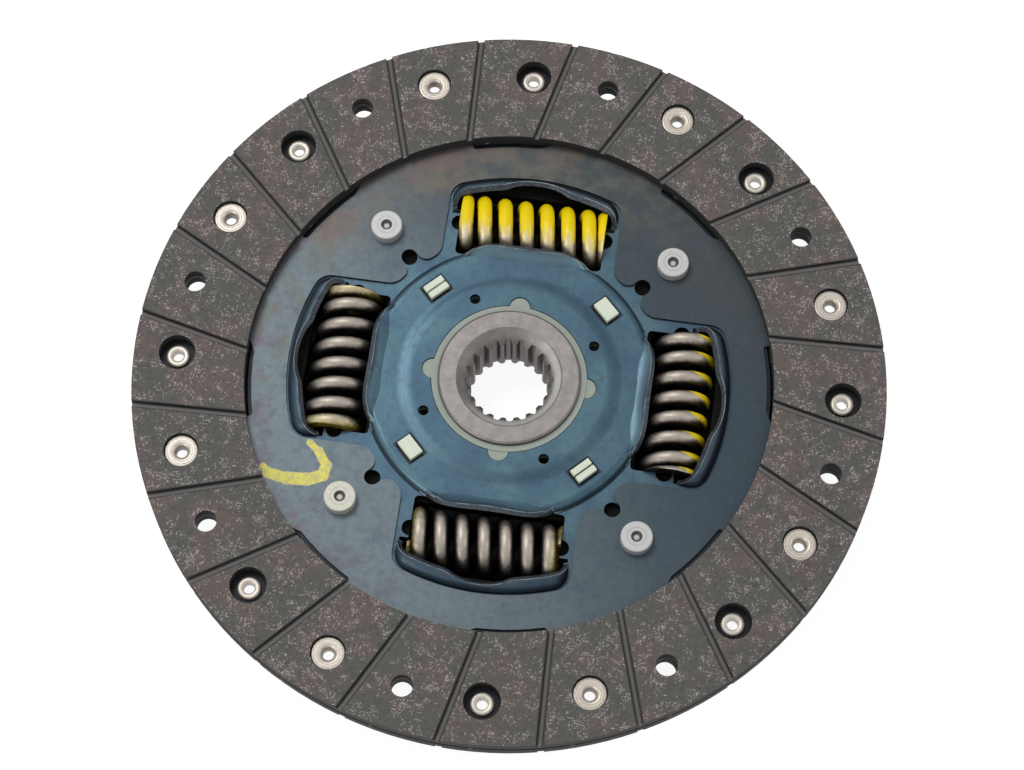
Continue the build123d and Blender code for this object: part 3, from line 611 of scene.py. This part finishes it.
# painted shade: the flange below the tabs' feet, deep in the slots, is painted near black
flange_with_painted_shade = mixed(ramped(from_damper, *tab_foot), (0.03, 0.03, 0.028), tab_colour)
finish(
    bush_plastic,
    Base_Color=mixed(ramped(ring_distance, *bush_ring_edge), ring_colour, flange_with_painted_shade),
    Roughness=0.5,
    Normal=bumped(noise(place, 0.5, 4.0), 0.03),
)
for name in ("front_bush", "rear_bush"):
    dress(name, bush_plastic)

washer_composite, place = new_finish("washer_composite")
weave = noise(place, 0.8, 4.0)
finish(
    washer_composite,
    Base_Color=mixed(weave, (0.03, 0.028, 0.025), (0.09, 0.08, 0.07)),
    Roughness=0.85,
    Normal=bumped(weave, 0.05),
)
for name in ("front_friction_washer", "rear_friction_washer"):
    dress(name, washer_composite)

# ---------------------------------------------------------------- pressure plate and its spring
# Under the rear retainer, a steel ring keyed to it loads the friction washers, pushed by a coned
# spring washer. Both are pressed steel and left bare.
plain_steel, place = new_finish("plain_steel")
mill = noise(place, 1.5, 4.0)
finish(
    plain_steel,
    Base_Color=mixed(mill, (0.22, 0.21, 0.20), (0.36, 0.35, 0.33)),
    Metallic=0.9,
    Roughness=0.4 + 0.15 * mill,
    Normal=bumped(noise(place, 0.4, 3.0), 0.02),
)
for name in ("pressure_plate", "diaphragm_spring"):
    dress(name, plain_steel)

# ---------------------------------------------------------------- cushion plate
# Stamped from thin spring steel and waved under the facings. Its heat treatment leaves blue-grey
# scale with straw, red and violet tints; the scale is painted paler towards the lower left as
# painted light. An inspector has marked it in yellow.
mark_route = (
    (-52.5, -26.2),
    (-49.6, -28.4),
    (-46.9, -32.2),
    (-47.4, -35.2),
    (-51.0, -36.9),
    (-57.4, -37.4),
    (-62.6, -36.6),
    (-64.3, -35.0),
)
mark_widths = (2.1, 2.8, 3.4, 3.9, 3.9, 3.5, 2.3)
facings_inner_edge = (74.3, 75.0)
cushion_steel, place = new_finish("cushion_steel")
x, y, z = parts_of(place)
ring_distance = distance(x, y)
patch = noise(place, 9.0, 4.0, 0.65)
drift = noise(place, 26.0, 2.0)
smoke = noise(place, 2.0, 5.0, 0.65)
speck = noise(place, 0.6, 3.0, 0.6)
# painted light: the scale is lighter towards the lower left and darker towards the upper right
shade_side = ramped(x * 0.85 + y * 0.5 + (patch - 0.5) * 30, -62.0, 48.0)
scale = mixed(shade_side, (0.110, 0.138, 0.154), (0.031, 0.048, 0.062))
brown_side = ramped(y + x * 0.35 + (drift - 0.5) * 70, 10.0, 70.0)
scale = mixed(brown_side * 0.55, scale, (0.052, 0.053, 0.051))
scale = mixed(ramped(smoke, 0.42, 0.75) * 0.25, scale, (0.030, 0.032, 0.042))
scale = mixed(ramped(patch, 0.52, 0.7) * 0.35, scale, (0.050, 0.062, 0.092))
olive = ramped(ring_distance, 54.0, 64.0) * ramped(y - x * 0.6, 10.0, 50.0)
olive = olive * ramped(noise(place, 7.0), 0.42, 0.62)
scale = mixed(olive * 0.5, scale, (0.095, 0.105, 0.082))
scale = mixed(ramped(speck, 0.6, 0.72) * 0.25, scale, (0.12, 0.13, 0.14))
scale = mixed(ramped(speck * -1, -0.36, -0.28) * 0.5, scale, (0.020, 0.022, 0.032))
straw = ramped(y - x * 0.5, 44.0, 66.0) * ramped(ring_distance, 56.0, 68.0)
straw = straw * ramped(drift, 0.38, 0.58) * ramped(patch, 0.35, 0.6)
scale = mixed(straw * 0.5, scale, (0.140, 0.100, 0.066))
violet = ramped(ring_distance, 61.0, 72.0) * ramped(x * -1 + y * 0.3, -20.0, 40.0)
violet = violet * ramped(patch, 0.46, 0.62)
scale = mixed(violet * 0.45, scale, (0.098, 0.070, 0.090))
rust = ramped(ring_distance, 66.0, 72.5) * ramped(x * -1, 20.0, 55.0)
rust = rust * ramped(noise(place, 5.0, 2.0), 0.54, 0.72)
scale = mixed(rust * 0.5, scale, (0.135, 0.062, 0.070))


def distance_to_line(x, y, start, end):
    """How far the point x, y lies from the straight line between two points."""
    run_x, run_y = end[0] - start[0], end[1] - start[1]
    share = ((x - start[0]) * run_x + (y - start[1]) * run_y) / (run_x**2 + run_y**2)
    share = share.math("MINIMUM", 1.0, share.math("MAXIMUM", 0.0, share))
    return distance(x - start[0] - share * run_x, y - start[1] - share * run_y)


strokes = [
    distance_to_line(x, y, start, end) / width
    for start, end, width in zip(mark_route, mark_route[1:], mark_widths)
]
mark_distance = strokes[0]
for stroke in strokes[1:]:
    mark_distance = stroke.math("MINIMUM", mark_distance, stroke)
bristle = noise(place, 1.6, 4.0, 0.6)
mark = 1 - ramped(mark_distance + (bristle - 0.5) * 0.3, 0.38, 0.52)
mark = mark * ramped(z, 0.2, 0.38)
mark_yellow = mixed(ramped(bristle, 0.38, 0.6), (0.60, 0.55, 0.20), (0.80, 0.73, 0.12))
facing_up = abs(facing_along(place, "Z"))
# painted shade: the plate under the facings and its steep cut edges are painted near black
under_facings_painted_shade = ramped(ring_distance, *facings_inner_edge)
cut_edge_painted_shade = 1 - ramped(facing_up, 0.6, 0.9)
steel_colour = mixed(x.math("MAXIMUM", under_facings_painted_shade, cut_edge_painted_shade), scale, (0.012, 0.012, 0.015))
finish(
    cushion_steel,
    Base_Color=mixed(mark, steel_colour, mark_yellow),
    Metallic=0.7 * (1 - mark),
    Roughness=0.4 + 0.15 * smoke,
    Normal=bumped(noise(place, 0.5, 4.0, 0.6) + mark, 0.02),
)
dress("cushion_plate", cushion_steel)

# ---------------------------------------------------------------- stop rivets
# Four stepped steel spacers that hold the retainers and the cushion plate together and stop the
# flange. Turned, headed over cold at both ends and dull grey; the dimple in each head is painted
# dark as shade.
stop_rivet_place = 41.44
turned_line_radius = 2.6
stop_rivet_steel, place = new_finish("stop_rivet_steel")
x, y, z = parts_of(place)
matte = noise(place, 0.6, 4.0, 0.6)
from_centre = distance(abs(x) - stop_rivet_place, abs(y) - stop_rivet_place)
# painted shade: the inside of each head's dimple is darkened
dimple_painted_shade = ramped(from_centre, 0.5, 0.9) * (1 - ramped(from_centre, 1.45, 1.75))
turned_line = 1 - ramped(abs(from_centre - turned_line_radius), 0.05, 0.25)
head_grey = mixed(matte, (0.38, 0.385, 0.38), (0.54, 0.54, 0.535))
head_grey = mixed(turned_line * 0.35, head_grey, (0.16, 0.16, 0.16))
marked_rivet = ramped(x * -1, 30.0, 35.0) * ramped(y * -1, 30.0, 35.0)
marked_rivet = marked_rivet * ramped(matte, 0.35, 0.6)
head_grey = mixed(marked_rivet * 0.3, head_grey, (0.66, 0.62, 0.30))
finish(
    stop_rivet_steel,
    Base_Color=mixed(dimple_painted_shade * 0.85, head_grey, (0.05, 0.05, 0.05)),
    Metallic=0.5,
    Roughness=0.55,
    Normal=bumped(matte, 0.03),
)
dress("stop_rivets", stop_rivet_steel)

# ---------------------------------------------------------------- facing rivets
# Tubular brass-washed steel rivets, turned with fine rings on the head and a funnel into the bore.
# The head holds its own facing, and the rolled end the paddle; the rear ones stand upside down.
rivet_circle_radius = 93.85
rivet_count = 8
front_rivet_angle = 21.6
rear_rivet_angle = 3.7
rivet_head_top = 2.9
rivet_ring_floor = rivet_head_top - 0.12
rivet_sides = 48
rivet_sharp_angle = radians(38)
rivet_profile = [
    (1.6, -0.9),
    (1.6, 1.7),
    (1.75, 2.1),
    (2.05, 2.5),
    (2.4, 2.75),
    (2.65, rivet_head_top),
    (2.95, rivet_head_top),
    (3.05, rivet_ring_floor),
    (3.2, rivet_ring_floor),
    (3.3, rivet_head_top),
    (3.75, rivet_head_top),
    (3.85, rivet_ring_floor),
    (4.0, rivet_ring_floor),
    (4.1, rivet_head_top),
    (4.4, rivet_head_top),
    (4.6, 2.8),
    (4.65, 2.6),
    (4.65, 1.8),
    (2.6, 1.8),
    (2.6, -0.2),
    (3.3, -0.25),
    (3.4, -0.5),
    (3.3, -0.85),
    (2.95, -1.12),
    (2.5, -1.2),
    (2.0, -1.12),
    (1.7, -1.0),
]


def turned_pieces(name, profile, radius, angles, upright):
    """One mesh of a turned piece at each angle of a circle; upright is -1 for upside down."""
    corners, faces = [], []
    for angle in angles:
        centre = Vector((radius * cos(radians(angle)), radius * sin(radians(angle)), 0))
        first = len(corners)
        for side in range(rivet_sides):
            turn = 2 * pi * side / rivet_sides
            for out, height in profile:
                offset = Vector((out * cos(turn), upright * out * sin(turn), upright * height))
                corners.append((centre + offset) * MM)
        for side in range(rivet_sides):
            near = first + side * len(profile)
            far = first + (side + 1) % rivet_sides * len(profile)
            for step in range(len(profile)):
                after = (step + 1) % len(profile)
                faces.append((near + step, far + step, far + after, near + after))
    data = bpy.data.meshes.new(name)
    data.from_pydata(corners, [], faces)
    data.shade_smooth()
    data.set_sharp_from_angle(angle=rivet_sharp_angle)
    return into_scene(name, data)


for node_name, start_angle, upright, bore_shade in (
    ("facing_rivets_front", front_rivet_angle, 1, 0.6),
    ("facing_rivets_rear", rear_rivet_angle, -1, 0.0),
):
    rivet_steel, place = new_finish(node_name + "_steel")
    sheen = noise(place, 0.8, 3.0)
    in_bore = 1 - ramped(abs(part_along(place, "Z") - upright * 0.2), 1.2, 2.4)
    wash = mixed(sheen, (0.50, 0.445, 0.385), (0.64, 0.59, 0.525))
    finish(
        rivet_steel,
        Base_Color=mixed(in_bore * bore_shade, wash, (0.13, 0.11, 0.09)),
        Metallic=0.6,
        Roughness=0.42,
        Normal=bumped(sheen, 0.02),
    )
    angles = [start_angle + 360 / rivet_count * number for number in range(rivet_count)]
    turned_name = node_name + "_turned"
    rivets = turned_pieces(turned_name, rivet_profile, rivet_circle_radius, angles, upright)
    rivets.data.materials.append(rivet_steel)
    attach(rivets, "disc")
    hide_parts(node_name)

# ---------------------------------------------------------------- facings
# Moulded friction rings of yarn in resin: pale fibres show in the dark ground face, and the groove
# floors keep their smoother moulded skin. Painted shade darkens the groove edges and the walls, and
# a painted highlight runs along each groove floor.
groove_count = 24
groove_start = radians(2.2)
groove_offset = 19.0
groove_half_width = 0.95
groove_floor_height = (3.6, 4.0)
hole_half_width = (5.4, 6.0)
facing_inner_wall = (75.5, 76.5)
friction, place = new_finish("friction")
x, y, z = parts_of(place)
ring_distance = distance(x, y)
facing_up = abs(facing_along(place, "Z"))
cluster = noise(place, 4.5, 3.0, 0.65)
tone = noise(place, 9.0, 3.0, 0.6)
mottle = noise(place, 1.1, 4.0, 0.65)
ground = mixed(ramped(tone, 0.4, 0.62), (0.092, 0.092, 0.084), (0.128, 0.100, 0.094))
ground = mixed(ramped(mottle, 0.5, 0.68) * 0.55, ground, (0.045, 0.038, 0.036))
ground = mixed(ramped(mottle * -1, -0.42, -0.3) * 0.3, ground, (0.17, 0.165, 0.155))


def fibres(place, cell, length, width, threshold):
    """Short straight fibres, one in each cell of the given size, that lie at random angles."""
    settings = {"feature": "F1", "voronoi_dimensions": "3D"}
    sockets = {"Vector": place, "Scale": 1 / cell}
    centre = place.node("ShaderNodeTexVoronoi", settings, sockets, "Position")
    tint = place.node("ShaderNodeTexVoronoi", settings, sockets, "Color")
    offset = place.node("ShaderNodeVectorMath", {"operation": "SUBTRACT"}, {0: place, 1: centre})
    offset_x, offset_y = (part_along(offset, axis) for axis in "XY")
    heading, chance = (
        tint.node("ShaderNodeSeparateColor", {}, {0: tint}, channel) for channel in ("Red", "Green")
    )
    heading = heading * 2 * pi
    cosine, sine = heading.math("COSINE", heading), heading.math("SINE", heading)
    lengthways = abs(offset_x * cosine + offset_y * sine)
    widthways = abs(offset_y * cosine - offset_x * sine)
    inside = 1 - ramped(lengthways, length * 0.2, length * 0.55)
    inside = inside * (1 - ramped(widthways, 0.0, width * 0.8))
    return inside * (chance > threshold)


specks = fibres(place, 0.62, 0.50, 0.30, 1.0 - ramped(cluster, 0.42, 0.75) * 0.75)
short_fibres = fibres(place, 1.0, 0.95, 0.20, 1.0 - ramped(cluster, 0.36, 0.72) * 0.5)
long_fibres = fibres(place, 3.2, 3.0, 0.22, 0.93)
knots = fibres(place, 1.7, 1.1, 0.65, 1.0 - ramped(cluster, 0.45, 0.75) * 0.4)
fleck = x.math("MAXIMUM", specks, x.math("MAXIMUM", short_fibres, long_fibres * 0.6))
fleck = x.math("MAXIMUM", fleck, knots * 0.7)
fleck = fleck * (0.25 + ramped(noise(place, 0.8), 0.35, 0.6) * 0.75)

# every groove runs past the axis at the same distance, so its place follows from the radius
groove_pitch = 2 * pi / groove_count
lean = x.math("ARCSINE", groove_offset / ring_distance)
swing = x.math("ARCTAN2", y * x.math("SIGN", z), x) - groove_start - lean
swing = x.math("WRAP", swing, groove_pitch / 2, -groove_pitch / 2)
across_groove = ring_distance * x.math("SINE", swing) * x.math("COSINE", lean)
in_groove = 1 - ramped(abs(z), *groove_floor_height)
# the groove floor is lighter for its moulded skin; its dark edges are painted shade, its middle a
# painted highlight
floor_light_and_edge_shade = 1 - ramped(abs(across_groove - 0.05), 0.4, 0.78)
floor_painted_highlight = 1 - ramped(abs(across_groove - 0.1), 0.0, 0.35)
# painted shade: a dark line on the face along each groove's edge
groove_edge_painted_shade = 1 - ramped(abs(abs(across_groove) - groove_half_width), 0.15, 0.4)
groove_colour = mixed(floor_light_and_edge_shade, (0.026, 0.025, 0.024), (0.150, 0.146, 0.142))
groove_colour = mixed(floor_painted_highlight, groove_colour, (0.215, 0.21, 0.205))
# painted shade: steep walls, darkest at the inner rim and in the rivet holes, are painted near
# black
steep_wall_painted_shade = 1 - ramped(facing_up, 0.3, 0.7)
hole_wall_painted_shade = steep_wall_painted_shade * (1 - ramped(abs(ring_distance - rivet_circle_radius), *hole_half_width))
inner_wall_painted_shade = steep_wall_painted_shade * (1 - ramped(ring_distance, *facing_inner_wall))
friction_colour = mixed(fleck * 0.85, ground, (0.60, 0.575, 0.53))
friction_colour = mixed(groove_edge_painted_shade * 0.75, friction_colour, (0.026, 0.025, 0.024))
friction_colour = mixed(in_groove, friction_colour, groove_colour)
friction_colour = mixed(steep_wall_painted_shade * 0.75, friction_colour, (0.020, 0.018, 0.017))
friction_colour = mixed(inner_wall_painted_shade, friction_colour, (0.008, 0.008, 0.008))
friction_colour = mixed(hole_wall_painted_shade, friction_colour, (0.007, 0.007, 0.008))
finish(
    friction,
    Base_Color=friction_colour,
    Roughness=0.8,
    Normal=bumped(noise(place, 0.5, 4.0, 0.7) + fleck * 0.5, 0.06),
)
for name in ("facing_front", "facing_rear"):
    dress(name, friction)
